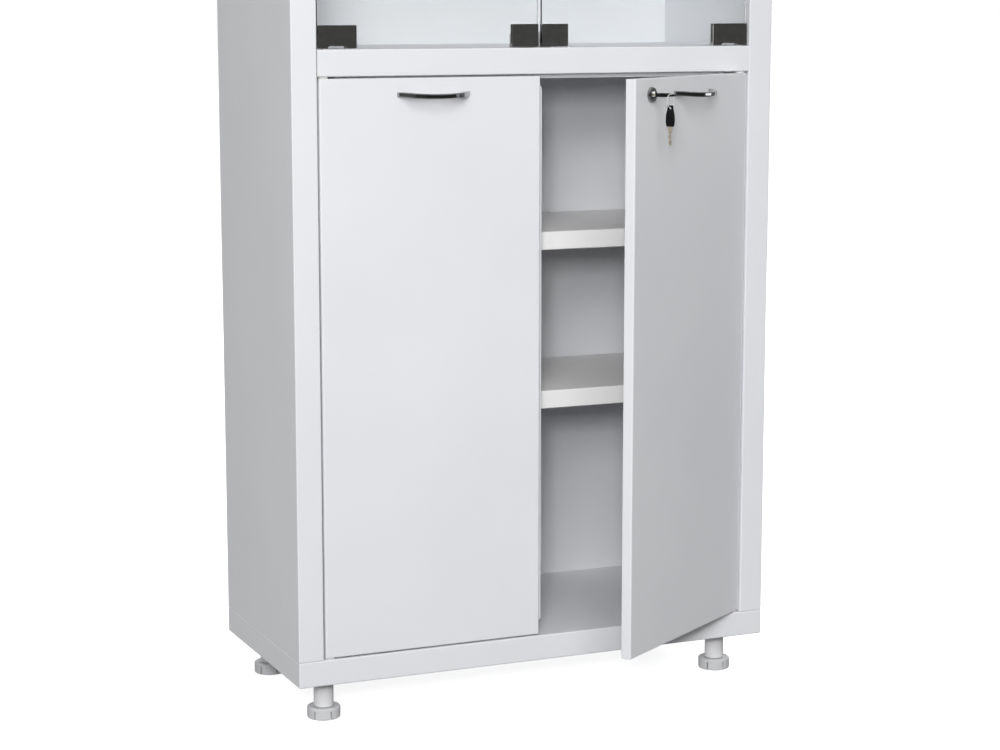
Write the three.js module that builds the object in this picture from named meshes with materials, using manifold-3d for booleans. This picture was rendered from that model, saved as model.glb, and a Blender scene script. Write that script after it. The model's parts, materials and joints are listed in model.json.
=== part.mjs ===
// Two-section medical cabinet of folded sheet steel: glass doors above, steel doors below.
// Millimetres, +Z up, doors facing -Y. The origin is on the floor, under the middle of the carcass.
import * as THREE from 'three';
import { mergeVertices } from 'three/addons/utils/BufferGeometryUtils.js';
import Module from 'manifold-3d';

const wasm = await Module();
wasm.setup();

// Carcass
const cabinetWidth = 700;
const cabinetDepth = 320;
const footHeight = 57;
const railHeight = 35;
const postWidth = 35;
const lowerOpening = 770;
const upperOpening = 730;
const sheet = 1;
const bendRadius = 2;
const jambDepth = 20;
const rearReturn = 25;
const trayFlange = 25;
const cornerPlate = 75;
const stopLipDrop = 6;
const stopLipGap = 1;
const stopLipEnd = 20;
const floorFlange = 25;

// Fits
const clearance = 0.3;
const overcut = 1;

// Feet
const footInsetX = 50;
const footInsetFront = 48;
const footInsetRear = 37;
const legDiameter = 27;
const legBore = 20;
const legCap = 4;
const studDiameter = 10;
const studLength = 12;
const glideDiameter = 45;
const glideHeight = 16;
const glideSlits = 6;
const glideSlitTurn = 38;
const glideSlitWidth = 2.4;
const glideSlitDepth = 3;
const glideSlitHeight = 12;
const glideRim = 1.5;
const stemLength = 26;

// Shelves
const shelfHeights = [335, 555];
const shelfThickness = 25;
const shelfSetback = 40;
const shelfLip = 12;
const shelfPlay = 2;
const glassShelfHeights = [240, 480];
const glassShelfThickness = 6;
const glassShelfSetback = 45;
const ledgerLeg = 20;
const ledgerSheet = 1.5;

// Steel doors
const doorThickness = 15;
const doorGap = 2.5;
const meetingGap = 3;
const doorSideLip = 30;
const doorEndLip = 12;
const pivotInset = 7.5;
const pivotDiameter = 7;
const pivotFlange = 14;
const pivotReach = 8;
const runningGap = 0.5;
const rightDoorOpen = THREE.MathUtils.degToRad(33.5);

// Overlap strip of the left door
const stripSheet = 1.2;
const stripFlange = 12;
const stripJoggle = 1;
const stripReach = 9.5;
const stripTopDrop = 6;
const stripFootRise = 8;

// Handles
const handleSpacing = 96;
const handleFoot = 7;
const handleProjection = 25;
const handleBow = 5;
const handleDroop = 2.6;
const handleLegRun = 14;
const handleStrap = 4;
const handleHeight = 6.5;
const handleEdge = 0.8;
const handleDrop = 21.5;
const handleFromMiddle = 2.5;

// Shoot bolt of the left door
const boltWidth = 8;
const boltThickness = 3;
const boltLength = 60;
const boltTravel = 12;
const boltKnob = 6;
const boltKnobLength = 7;
const boltFromTop = 6;
const boltFromEdge = 21;
const boltCaseWidth = 14;
const boltCaseLength = 60;
const boltCaseDrop = 6;
const boltCaseBack = 2;

// Lock of the right door
const lockFromEdge = 41;
const lockFromTop = 21;
const lockFace = 20.5;
const lockFaceProud = 4;
const lockFaceRound = 2.5;
const lockBarrel = 18;
const lockPlug = 14;
const lockNutFlats = 24;
const lockNutThickness = 4;
const lockTailSquare = 7;
const lockTailLength = 5;
const camReach = 42;
const camWidth = 12;
const camThickness = 2;
const camRunningGap = 0.8;

// Keys and ring
const bladeLength = 24;
const bladeWidth = 4.6;
const bladeThickness = 2;
const bladeShown = 3.8;
const notchDepth = 1;
const notchPitch = 4;
const notchCount = 3;
const headLength = 27.5;
const headRootWidth = 9.6;
const headWidth = 12;
const headEndWidth = 10;
const headCorner = 2;
const headThickness = 5;
const headEndThickness = 1.6;
const headHole = 6;
const headHoleInset = 5;
const ringRadius = 8.5;
const ringWire = 1;
const ringPlay = 0.25;

// Glass doors
const paneThickness = 5;
const paneSideGap = 3;
const paneEndGap = 5.5;
const paneMeetingGap = 5.5;
const paneSetback = 8;
const clampWidth = 52;
const clampThickness = 12;
const clampHeight = 25;
const clampPivotInset = 12;
const clampFloorGap = 1;
const clampLug = 13;
const clampArch = 3;
const clampPin = 5;
const clampPinLength = 5;
const bushDiameter = 8;
const bushFlange = 12;
const bushFlangeThickness = 0.7;
const bushLength = 5;
const strikeWidth = 38;
const strikeHeight = 30;
const strikePlate = 1.2;

// Push latch of the glass doors
const latchWidth = 44;
const latchDepth = 40;
const latchHeight = 18;
const plungerDiameter = 8;
const plungerSpacing = 20;
const plungerShown = 6;
const plungerLength = 26;
const plungerBore = 32;
const plungerChamfer = 1;

// Levels and planes that follow from the sizes above
const floorZ = footHeight + railHeight;
const crossbarZ = floorZ + lowerOpening;
const upperFloorZ = crossbarZ + railHeight;
const topZ = upperFloorZ + upperOpening;
const roofZ = topZ + railHeight;
const frontY = -cabinetDepth / 2;
const backY = cabinetDepth / 2;
const halfWidth = cabinetWidth / 2;
const openingHalf = halfWidth - postWidth;
const innerHalf = halfWidth - sheet;
const backFaceY = backY - 2 * sheet;
const doorBottomZ = floorZ + doorGap;
const doorTopZ = crossbarZ - doorGap;
const doorWidth = openingHalf - doorGap - meetingGap / 2;
const doorHalf = doorThickness / 2;
const doorFreeX = doorWidth - pivotInset;
const pivotX = openingHalf - doorGap - pivotInset;
const pivotY = frontY + doorHalf;
const stopLipY = frontY + doorThickness + stopLipGap;
const stopLipBack = doorHalf + stopLipGap + sheet;
const paneWidth = openingHalf - paneSideGap - paneMeetingGap / 2;
const paneFreeX = paneWidth - clampPivotInset;
const panePivotX = openingHalf - paneSideGap - clampPivotInset;
const panePivotY = frontY + paneSetback;
const paneBottomZ = upperFloorZ + paneEndGap;
const paneTopZ = topZ - paneEndGap;
const strikeHalf = paneThickness / 2 + clearance + strikePlate;

// Finishes
const paint = { color: 0xe6e7ea, roughness: 0.38, metalness: 0 };
const chrome = { color: 0x8b8d90, roughness: 0.12, metalness: 1 };
const steel = { color: 0xb9b3a4, roughness: 0.3, metalness: 1 };
const zinc = { color: 0xa9adb1, roughness: 0.4, metalness: 1 };
const blackPlastic = { color: 0x111214, roughness: 0.45, metalness: 0 };
const greyPlastic = { color: 0xc9cacd, roughness: 0.5, metalness: 0 };
const nylon = { color: 0xe9e9e6, roughness: 0.5, metalness: 0 };
const glass = { color: 0xcfe3dc, roughness: 0.03, metalness: 0, transparent: true, opacity: 0.35 };

// Solid helpers: three.js geometry to a boolean solid and back
function solid(geometry) {
  const bare = geometry.clone();
  bare.deleteAttribute('normal');
  bare.deleteAttribute('uv');
  const merged = mergeVertices(bare, 1e-4);
  const vertProperties = new Float32Array(merged.attributes.position.array);
  const triVerts = new Uint32Array(merged.index.array);
  return new wasm.Manifold(new wasm.Mesh({ numProp: 3, vertProperties, triVerts }));
}

function geometryOf(body) {
  const { vertProperties, triVerts } = body.getMesh();
  const geometry = new THREE.BufferGeometry();
  geometry.setAttribute('position', new THREE.BufferAttribute(new Float32Array(vertProperties), 3));
  geometry.setIndex(new THREE.BufferAttribute(new Uint32Array(triVerts), 1));
  geometry.computeVertexNormals();
  return geometry;
}

function cut(base, ...tools) {
  return tools.reduce((body, tool) => body.subtract(tool), base);
}

function join(base, ...others) {
  return others.reduce((body, other) => body.add(other), base);
}

// Block between two corners
function block(x0, y0, z0, x1, y1, z1) {
  const geometry = new THREE.BoxGeometry(Math.abs(x1 - x0), Math.abs(y1 - y0), Math.abs(z1 - z0));
  geometry.translate((x0 + x1) / 2, (y0 + y1) / 2, (z0 + z1) / 2);
  return solid(geometry);
}

// Outline in plan, raised from z0 to z1
function raised(shape, z0, z1, curveSegments = 4) {
  const geometry = new THREE.ExtrudeGeometry(shape, { depth: z1 - z0, bevelEnabled: false, curveSegments });
  geometry.translate(0, 0, z0);
  return solid(geometry);
}

// Outline drawn in x and z, running from y0 to y1
function alongY(shape, y0, y1, curveSegments = 4) {
  const geometry = new THREE.ExtrudeGeometry(shape, { depth: y1 - y0, bevelEnabled: false, curveSegments });
  geometry.rotateX(Math.PI / 2);
  geometry.translate(0, y1, 0);
  return solid(geometry);
}

// Outline drawn in y and z, running from x0 to x1
function alongX(shape, x0, x1, curveSegments = 4) {
  const geometry = new THREE.ExtrudeGeometry(shape, { depth: x1 - x0, bevelEnabled: false, curveSegments });
  geometry.rotateZ(Math.PI / 2);
  geometry.rotateY(Math.PI / 2);
  geometry.translate(x0, 0, 0);
  return solid(geometry);
}

function polygon(points) {
  return new THREE.Shape(points.map(([x, y]) => new THREE.Vector2(x, y)));
}

// Closed profile of radius and height, turned round the Z axis
function turned(points, segments = 32) {
  const closed = [...points, points[0]].map(([r, z]) => new THREE.Vector2(r, z));
  const geometry = new THREE.LatheGeometry(closed, segments);
  geometry.rotateX(Math.PI / 2);
  return solid(geometry);
}

// The same profile with its axis along Y
function turnedY(points, segments = 32) {
  const closed = [...points, points[0]].map(([r, y]) => new THREE.Vector2(r, y));
  return solid(new THREE.LatheGeometry(closed, segments));
}

function pin(x, y, z0, z1, diameter, segments = 24) {
  const geometry = new THREE.CylinderGeometry(diameter / 2, diameter / 2, z1 - z0, segments);
  geometry.rotateX(Math.PI / 2);
  geometry.translate(x, y, (z0 + z1) / 2);
  return solid(geometry);
}

function pinY(x, z, y0, y1, diameter, segments = 24) {
  const geometry = new THREE.CylinderGeometry(diameter / 2, diameter / 2, y1 - y0, segments);
  geometry.translate(x, (y0 + y1) / 2, z);
  return solid(geometry);
}

// Rectangle whose left and right corners are rounded by their own radii
function roundedRectangle(x0, y0, x1, y1, leftRadius, rightRadius) {
  const shape = new THREE.Shape();
  shape.moveTo(x0 + leftRadius, y0);
  shape.lineTo(x1 - rightRadius, y0);
  shape.absarc(x1 - rightRadius, y0 + rightRadius, rightRadius, -Math.PI / 2, 0, false);
  shape.absarc(x1 - rightRadius, y1 - rightRadius, rightRadius, 0, Math.PI / 2, false);
  shape.absarc(x0 + leftRadius, y1 - leftRadius, leftRadius, Math.PI / 2, Math.PI, false);
  shape.absarc(x0 + leftRadius, y0 + leftRadius, leftRadius, Math.PI, 1.5 * Math.PI, false);
  return shape;
}

// Section of folded sheet: the skin runs through the points and the sheet lies on its left
function foldedSection(points, thickness, radius) {
  const skin = points.map(([x, y]) => new THREE.Vector2(x, y));
  const runs = skin.slice(1).map((p, i) => p.clone().sub(skin[i]).normalize());
  const left = runs.map((d) => new THREE.Vector2(-d.y, d.x));
  const inside = skin.map((p, i) => {
    const before = left[Math.max(i - 1, 0)];
    const after = left[Math.min(i, left.length - 1)];
    const miter = before.clone().add(after).normalize();
    return p.clone().addScaledVector(miter, thickness / miter.dot(after));
  });
  const turnsLeft = (i) => runs[i - 1].cross(runs[i]) > 0;
  const shape = new THREE.Shape();
  const corner = (p, inDirection, outDirection, size) => {
    const start = p.clone().addScaledVector(inDirection, -size);
    const end = p.clone().addScaledVector(outDirection, size);
    shape.lineTo(start.x, start.y);
    shape.quadraticCurveTo(p.x, p.y, end.x, end.y);
  };
  const last = skin.length - 1;
  shape.moveTo(skin[0].x, skin[0].y);
  for (let i = 1; i < last; i++) {
    corner(skin[i], runs[i - 1], runs[i], turnsLeft(i) ? radius : radius - thickness);
  }
  shape.lineTo(skin[last].x, skin[last].y);
  shape.lineTo(inside[last].x, inside[last].y);
  for (let i = last - 1; i > 0; i--) {
    const size = turnsLeft(i) ? radius - thickness : radius;
    corner(inside[i], runs[i].clone().negate(), runs[i - 1].clone().negate(), size);
  }
  shape.lineTo(inside[0].x, inside[0].y);
  return shape;
}

// Named sub-part in a group
function place(parent, name, body, finish, x = 0, y = 0, z = 0) {
  const mesh = new THREE.Mesh(geometryOf(body), new THREE.MeshStandardMaterial(finish));
  mesh.name = name;
  mesh.position.set(x, y, z);
  parent.add(mesh);
  return mesh;
}

function groupAt(parent, x, y, z = 0) {
  const group = new THREE.Group();
  group.position.set(x, y, z);
  parent.add(group);
  return group;
}

const sides = [['left', -1], ['right', 1]];
const cabinet = new THREE.Group();

// Base tray: floor of the lower section, folded down and in, with a plate in each corner for a foot
const footX = halfWidth - footInsetX;
const footPlaces = [
  ['front_left', -footX, frontY + footInsetFront],
  ['front_right', footX, frontY + footInsetFront],
  ['rear_left', -footX, backY - footInsetRear],
  ['rear_right', footX, backY - footInsetRear],
];

// Hollow of a tray and the mouth that its inward flange leaves, with the corners kept as plates
function trayMouth(cornerCut, z0, z1) {
  const x = halfWidth - trayFlange;
  const y = backY - trayFlange;
  const outline = [
    [-x + cornerCut, -y],
    [x - cornerCut, -y],
    [x, -y + cornerCut],
    [x, y - cornerCut],
    [x - cornerCut, y],
    [-x + cornerCut, y],
    [-x, y - cornerCut],
    [-x, -y + cornerCut],
  ];
  return raised(polygon(outline), z0, z1);
}

function baseTray() {
  const skin = block(-halfWidth, frontY, footHeight, halfWidth, backY, floorZ);
  const hollow = block(
    -innerHalf, frontY + sheet, footHeight + sheet,
    innerHalf, backY - sheet, floorZ - sheet);
  const mouth = trayMouth(cornerPlate, footHeight - overcut, footHeight + sheet + overcut);
  const studHole = studDiameter + 2 * clearance;
  const studHoles = footPlaces.map(([, x, y]) => pin(
    x, y, footHeight - overcut, footHeight + sheet + overcut, studHole));
  const pivotHole = pivotDiameter + 2 * clearance;
  const pivotHoles = sides.map(([, s]) => pin(
    s * pivotX, pivotY, floorZ - sheet - overcut, floorZ + overcut, pivotHole));
  return cut(skin, hollow, mouth, ...studHoles, ...pivotHoles);
}
place(cabinet, 'base_tray', baseTray(), paint);

// Top cover: the same folded tray, closed above
function topCover() {
  const skin = block(-halfWidth, frontY, topZ, halfWidth, backY, roofZ);
  const hollow = block(-innerHalf, frontY + sheet, topZ + sheet, innerHalf, backY - sheet, roofZ - sheet);
  const mouth = trayMouth(trayFlange, topZ - overcut, topZ + sheet + overcut);
  const pinHole = clampPin + 2 * clearance;
  const pinHoles = sides.map(([, s]) => pin(
    s * panePivotX, panePivotY, topZ - overcut, topZ + sheet + overcut, pinHole));
  return cut(skin, hollow, mouth, ...pinHoles);
}
place(cabinet, 'top_cover', topCover(), paint);

// Side panels: one sheet folded into rear return, side, front post and door jamb
for (const [side, s] of sides) {
  const skin = [
    [s * (halfWidth - rearReturn), backY],
    [s * halfWidth, backY],
    [s * halfWidth, frontY],
    [s * openingHalf, frontY],
    [s * openingHalf, frontY + jambDepth],
  ];
  const section = foldedSection(s < 0 ? skin : skin.reverse(), sheet, bendRadius);
  place(cabinet, `${side}_side_panel`, raised(section, floorZ, topZ), paint);
}

// Back panel, held in front of the rear returns
const backHalf = halfWidth - bendRadius - clearance;
place(cabinet, 'back_panel', block(-backHalf, backFaceY, floorZ, backHalf, backY - sheet, topZ), paint);

// Divider: crossbar, door stop lip and floor of the upper section in one folded sheet
function divider() {
  const barHalf = openingHalf - clearance;
  const floorHalf = innerHalf - clearance;
  const floorFront = frontY + jambDepth + clearance;
  const floorBack = backFaceY - clearance;
  const bar = foldedSection([
    [stopLipY, crossbarZ - stopLipDrop],
    [stopLipY, crossbarZ],
    [frontY, crossbarZ],
    [frontY, upperFloorZ],
    [floorBack, upperFloorZ],
  ].reverse(), sheet, bendRadius);
  const floor = block(-floorHalf, floorFront, upperFloorZ - sheet, floorHalf, floorBack, upperFloorZ);
  const flanges = sides.map(([, s]) => block(
    s * floorHalf, floorFront, upperFloorZ - floorFlange,
    s * (floorHalf - sheet), floorBack, upperFloorZ));
  const pivotHole = pivotDiameter + 2 * clearance;
  const bushHole = bushDiameter + 2 * clearance;
  const holes = sides.flatMap(([, s]) => [
    pin(s * pivotX, pivotY, crossbarZ - overcut, crossbarZ + sheet + overcut, pivotHole),
    pin(s * panePivotX, panePivotY, upperFloorZ - sheet - overcut, upperFloorZ + overcut, bushHole),
  ]);
  const lipEnds = sides.map(([, s]) => block(
    s * (pivotX - stopLipEnd), stopLipY - bendRadius, crossbarZ - stopLipDrop - overcut,
    s * halfWidth, stopLipY + bendRadius, crossbarZ));
  return cut(join(alongX(bar, -barHalf, barHalf), floor, ...flanges), ...lipEnds, ...holes);
}
place(cabinet, 'divider', divider(), paint);

// Feet: a capped tube under each corner plate, and a slotted glide whose stem slides in it
const footLeg = turned([
  [legDiameter / 2, glideHeight + clearance],
  [legDiameter / 2, footHeight],
  [studDiameter / 2, footHeight],
  [studDiameter / 2, footHeight + studLength],
  [0, footHeight + studLength],
  [0, footHeight - legCap],
  [legBore / 2, footHeight - legCap],
  [legBore / 2, glideHeight + clearance],
], 24);

function footGlide() {
  const stem = legBore / 2 - clearance;
  const rim = glideDiameter / 2;
  const knob = turned([
    [0, 0],
    [rim - glideRim, 0],
    [rim, glideRim],
    [rim, glideHeight - glideRim],
    [rim - glideRim, glideHeight],
    [stem, glideHeight],
    [stem, glideHeight + stemLength],
    [0, glideHeight + stemLength],
  ], 24);
  const slits = Array.from({ length: glideSlits }, (_, i) => block(
    rim - glideSlitDepth, -glideSlitWidth / 2, -glideRim,
    rim + glideSlitDepth, glideSlitWidth / 2, glideSlitHeight,
  ).rotate([0, 0, glideSlitTurn + i * 360 / glideSlits]));
  return cut(knob, ...slits);
}

for (const [where, x, y] of footPlaces) {
  place(cabinet, `${where}_foot_leg`, footLeg, greyPlastic, x, y);
  place(cabinet, `${where}_foot_glide`, footGlide(), greyPlastic, x, y);
}

// Ledger angles under the two ends of a shelf
const shelfHalf = innerHalf - shelfPlay;
const shelfBack = backFaceY - shelfPlay;

function ledgers(name, shelfBottom, setback) {
  for (const [side, s] of sides) {
    const angle = polygon([
      [s * innerHalf, shelfBottom - ledgerLeg],
      [s * innerHalf, shelfBottom],
      [s * (innerHalf - ledgerLeg), shelfBottom],
      [s * (innerHalf - ledgerLeg), shelfBottom - ledgerSheet],
      [s * (innerHalf - ledgerSheet), shelfBottom - ledgerSheet],
      [s * (innerHalf - ledgerSheet), shelfBottom - ledgerLeg],
    ]);
    place(cabinet, `${name}_${side}_ledger`, alongY(angle, frontY + setback, shelfBack), paint);
  }
}

// Steel shelves: trays folded down and in on four sides
function steelShelf(top) {
  const front = frontY + shelfSetback;
  const bottom = top - shelfThickness;
  const skin = block(-shelfHalf, front, bottom, shelfHalf, shelfBack, top);
  const hollow = block(
    -shelfHalf + sheet, front + sheet, bottom + sheet,
    shelfHalf - sheet, shelfBack - sheet, top - sheet);
  const mouth = block(
    -shelfHalf + shelfLip, front + shelfLip, bottom - overcut,
    shelfHalf - shelfLip, shelfBack - shelfLip, bottom + sheet + overcut);
  return cut(skin, hollow, mouth);
}

shelfHeights.forEach((height, i) => {
  const name = `${['lower', 'upper'][i]}_steel_shelf`;
  place(cabinet, name, steelShelf(floorZ + height), paint);
  ledgers(name, floorZ + height - shelfThickness, shelfSetback);
});

// Glass shelves of the upper section
glassShelfHeights.forEach((height, i) => {
  const name = `${['lower', 'upper'][i]}_glass_shelf`;
  const top = upperFloorZ + height;
  const bottom = top - glassShelfThickness;
  const front = frontY + glassShelfSetback;
  place(cabinet, name, block(-shelfHalf, front, bottom, shelfHalf, shelfBack, top), glass);
  ledgers(name, bottom, glassShelfSetback);
});

// Steel door pan: skin, four returns and inward lips, hinge edge rounded to turn inside its gap
function hingeEdgeRadius() {
  const swing = pivotInset + doorGap - runningGap;
  const excess = pivotInset + doorHalf - swing;
  const beyond = pivotInset ** 2 + doorHalf ** 2 - swing ** 2;
  return beyond > 0 ? excess - Math.sqrt(excess ** 2 - beyond) : 0;
}

function doorPan(s) {
  const hingeRadius = Math.max(hingeEdgeRadius(), bendRadius);
  const outline = (inset) => {
    const hinge = -pivotInset + inset;
    const free = doorFreeX - inset;
    const [x0, x1] = s > 0 ? [hinge, free] : [-free, -hinge];
    const radii = [hingeRadius - inset, bendRadius - inset];
    const [leftRadius, rightRadius] = s > 0 ? radii : radii.reverse();
    return roundedRectangle(x0, -doorHalf + inset, x1, doorHalf - inset, leftRadius, rightRadius);
  };
  const skin = raised(outline(0), doorBottomZ, doorTopZ);
  const hollow = raised(outline(sheet), doorBottomZ + sheet, doorTopZ - sheet);
  const mouth = block(
    s * (doorSideLip - pivotInset), doorHalf - sheet - overcut, doorBottomZ + doorEndLip,
    s * (doorFreeX - doorSideLip), doorHalf + overcut, doorTopZ - doorEndLip);
  const pivotHole = pivotDiameter + 2 * clearance;
  const bottomHole = pin(0, 0, doorBottomZ - overcut, doorBottomZ + sheet + overcut, pivotHole);
  const topHole = pin(0, 0, doorTopZ - sheet - overcut, doorTopZ + overcut, pivotHole);
  return cut(skin, hollow, mouth, bottomHole, topHole);
}

// Flanged pivot pin between a door end and the frame, turned over for the top of the door
function doorPivot() {
  const flange = doorGap - clearance;
  return turned([
    [0, -pivotReach],
    [pivotDiameter / 2, -pivotReach],
    [pivotDiameter / 2, clearance],
    [pivotFlange / 2, clearance],
    [pivotFlange / 2, flange],
    [pivotDiameter / 2, flange],
    [pivotDiameter / 2, doorGap + pivotReach],
    [0, doorGap + pivotReach],
  ], 20);
}

// Strap handle: slanted legs into a shallow bow that hangs a little, with eased edges
function strapHandle() {
  const half = (handleSpacing + handleFoot) / 2;
  const shoulder = handleProjection - handleBow;
  const top = half - handleLegRun;
  const shape = new THREE.Shape();
  const inner = half - handleFoot;
  const innerTop = top - handleStrap;
  const innerShoulder = shoulder - handleStrap;
  const crown = 2 * handleBow;
  shape.moveTo(-half, 0);
  shape.quadraticCurveTo(-half, -shoulder, -top, -shoulder);
  shape.quadraticCurveTo(0, -shoulder - crown, top, -shoulder);
  shape.quadraticCurveTo(half, -shoulder, half, 0);
  shape.lineTo(inner, 0);
  shape.quadraticCurveTo(inner, -innerShoulder, innerTop, -innerShoulder);
  shape.quadraticCurveTo(0, -innerShoulder - crown, -innerTop, -innerShoulder);
  shape.quadraticCurveTo(-inner, -innerShoulder, -inner, 0);
  const geometry = new THREE.ExtrudeGeometry(shape, {
    depth: handleHeight - 2 * handleEdge,
    curveSegments: 8,
    bevelThickness: handleEdge,
    bevelSize: handleEdge,
    bevelOffset: -handleEdge,
    bevelSegments: 1,
  });
  geometry.translate(0, 0, handleEdge - handleHeight / 2);
  const points = geometry.attributes.position;
  for (let i = 0; i < points.count; i++) {
    const reach = points.getY(i) / handleProjection;
    points.setZ(i, points.getZ(i) - handleDroop * reach ** 2);
  }
  return solid(geometry);
}

const handleX = doorWidth / 2 - pivotInset + handleFromMiddle;
const handleY = -doorHalf - clearance;
const handleZ = doorTopZ - handleDrop;

function steelDoor(side, s, turn) {
  const pivots = groupAt(cabinet, -s * pivotX, pivotY);
  place(pivots, `lower_${side}_door_top_pivot`, doorPivot(), nylon, 0, 0, doorTopZ);
  const bottomPivot = place(pivots, `lower_${side}_door_bottom_pivot`, doorPivot(), nylon, 0, 0, doorBottomZ);
  bottomPivot.rotation.x = Math.PI;
  const door = groupAt(cabinet, -s * pivotX, pivotY);
  door.rotation.z = turn;
  place(door, `lower_${side}_door_handle`, strapHandle(), chrome, s * handleX, handleY, handleZ);
  return door;
}

// Left steel door with its overlap strip and shoot bolt
const leftDoor = steelDoor('left', 1, 0);
place(leftDoor, 'lower_left_door_panel', doorPan(1), paint);

function overlapStrip() {
  const seat = doorHalf + clearance;
  const tongue = doorFreeX + stripReach;
  const heel = doorFreeX - stripFlange;
  const section = foldedSection([
    [heel, seat],
    [doorFreeX - stripJoggle, seat],
    [doorFreeX, seat + stripJoggle],
    [tongue, seat + stripJoggle],
  ], stripSheet, stripSheet);
  const bottom = doorBottomZ + stripFootRise;
  const top = doorTopZ - stripTopDrop;
  const face = polygon([
    [heel, bottom],
    [doorFreeX, bottom],
    [tongue, bottom + stripReach],
    [tongue, top - stripReach],
    [doorFreeX, top],
    [heel, top],
  ]);
  const behind = seat + stripJoggle + 2 * stripSheet;
  return raised(section, bottom, top).intersect(alongY(face, doorHalf, behind));
}
place(leftDoor, 'overlap_strip', overlapStrip(), paint);

const boltX = doorFreeX - boltFromEdge;
const boltTopZ = doorTopZ - boltFromTop;
const boltFrontY = stopLipBack + runningGap;
const boltBackY = boltFrontY + boltThickness;
const boltKnobZ = boltTopZ - boltLength / 2 - boltCaseDrop;

function shootBolt() {
  const bar = block(
    boltX - boltWidth / 2, boltFrontY, boltTopZ - boltLength,
    boltX + boltWidth / 2, boltBackY, boltTopZ);
  const knobEnd = boltBackY + clearance + boltCaseBack + boltKnobLength;
  return join(bar, pinY(boltX, boltKnobZ, boltFrontY + clearance, knobEnd, boltKnob, 16));
}
place(leftDoor, 'shoot_bolt', shootBolt(), zinc);

function boltCase() {
  const half = boltCaseWidth / 2;
  const slot = boltWidth / 2 + clearance;
  const window = boltKnob / 2 + clearance;
  const top = boltTopZ - boltCaseDrop;
  const bottom = top - boltCaseLength;
  const back = boltBackY + clearance + boltCaseBack;
  const body = block(boltX - half, doorHalf + clearance, bottom, boltX + half, back, top);
  const channel = block(
    boltX - slot, boltFrontY - clearance, bottom - overcut,
    boltX + slot, boltBackY + clearance, top + overcut);
  const thumbSlot = block(
    boltX - window, boltBackY, boltKnobZ - window,
    boltX + window, back + overcut, boltKnobZ + boltTravel + window);
  return cut(body, channel, thumbSlot);
}
place(leftDoor, 'shoot_bolt_case', boltCase(), zinc);

// Right steel door, standing ajar, with its cam lock
const rightDoor = steelDoor('right', -1, rightDoorOpen);
const lockX = lockFromEdge - doorFreeX;
const lockZ = doorTopZ - lockFromTop;
const lockHole = pinY(
  lockX, lockZ, -doorHalf - overcut, -doorHalf + sheet + overcut, lockBarrel + 2 * clearance);
place(rightDoor, 'lower_right_door_panel', cut(doorPan(-1), lockHole), paint);

const lock = groupAt(rightDoor, lockX, -doorHalf, lockZ);
const stripBackY = doorThickness + clearance + stripJoggle + stripSheet;
const camFrontY = stripBackY + camRunningGap;
const barrelEndY = camFrontY - clearance;
const plugFaceY = clearance - lockFaceProud;
const keyInY = bladeLength - bladeShown - lockFaceProud;

function lockHousing() {
  const bore = lockPlug / 2 + clearance;
  const rim = [0, 1, 2, 3].map((i) => {
    const angle = i * Math.PI / 6;
    const inset = lockFaceRound * (1 - Math.sin(angle));
    return [lockFace / 2 - inset, lockFaceRound * (1 - Math.cos(angle)) - lockFaceProud];
  });
  return turnedY([
    [bore, -lockFaceProud],
    ...rim,
    [lockFace / 2, -clearance],
    [lockBarrel / 2, -clearance],
    [lockBarrel / 2, barrelEndY],
    [bore, barrelEndY],
  ]);
}
place(lock, 'lock_housing', lockHousing(), chrome);

function lockNut() {
  const corner = lockNutFlats / Math.sqrt(3);
  const points = Array.from({ length: 6 }, (_, i) => {
    const angle = (i + 0.5) * Math.PI / 3;
    return [corner * Math.cos(angle), corner * Math.sin(angle)];
  });
  const front = sheet + clearance;
  const hole = pinY(0, 0, sheet, front + lockNutThickness + overcut, lockBarrel + 2 * clearance, 32);
  return cut(alongY(polygon(points), front, front + lockNutThickness), hole);
}
place(lock, 'lock_nut', lockNut(), zinc);

function lockPlugBody() {
  const barrel = pinY(0, 0, plugFaceY, barrelEndY, lockPlug, 32);
  const half = lockTailSquare / 2;
  const tail = block(-half, barrelEndY - overcut, -half, half, barrelEndY + lockTailLength, half);
  const keyway = block(
    -bladeWidth / 2 - clearance, plugFaceY - overcut, -bladeThickness / 2 - clearance,
    bladeWidth / 2 + clearance, keyInY + clearance, bladeThickness / 2 + clearance);
  return cut(join(barrel, tail), keyway);
}
place(lock, 'lock_plug', lockPlugBody(), chrome);

function lockCam() {
  const half = camWidth / 2;
  const shape = new THREE.Shape();
  shape.moveTo(half, 0);
  shape.absarc(0, 0, half, 0, Math.PI, false);
  shape.lineTo(-half, half - camReach);
  shape.quadraticCurveTo(-half, -camReach, 0, -camReach);
  shape.quadraticCurveTo(half, -camReach, half, half - camReach);
  const square = lockTailSquare / 2 + clearance;
  const hole = block(
    -square, camFrontY - overcut, -square,
    square, camFrontY + camThickness + overcut, square);
  return cut(alongY(shape, camFrontY, camFrontY + camThickness, 8), hole);
}
place(lock, 'lock_cam', lockCam(), zinc);

// Keys, drawn lying flat with the blade towards +Y and the head hole on the Y axis
function keyBlade(rootY) {
  const half = bladeWidth / 2;
  const tip = rootY + bladeLength;
  const outline = [[-half, rootY], [-half, tip - half], [0, tip], [half, tip - half]];
  for (let i = 0; i < notchCount; i++) {
    const y = tip - half - (i + 0.5) * notchPitch;
    outline.push([half, y + notchPitch / 2], [half - notchDepth, y]);
  }
  outline.push([half, tip - half - notchCount * notchPitch], [half, rootY]);
  return raised(polygon(outline), -bladeThickness / 2, bladeThickness / 2);
}

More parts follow.
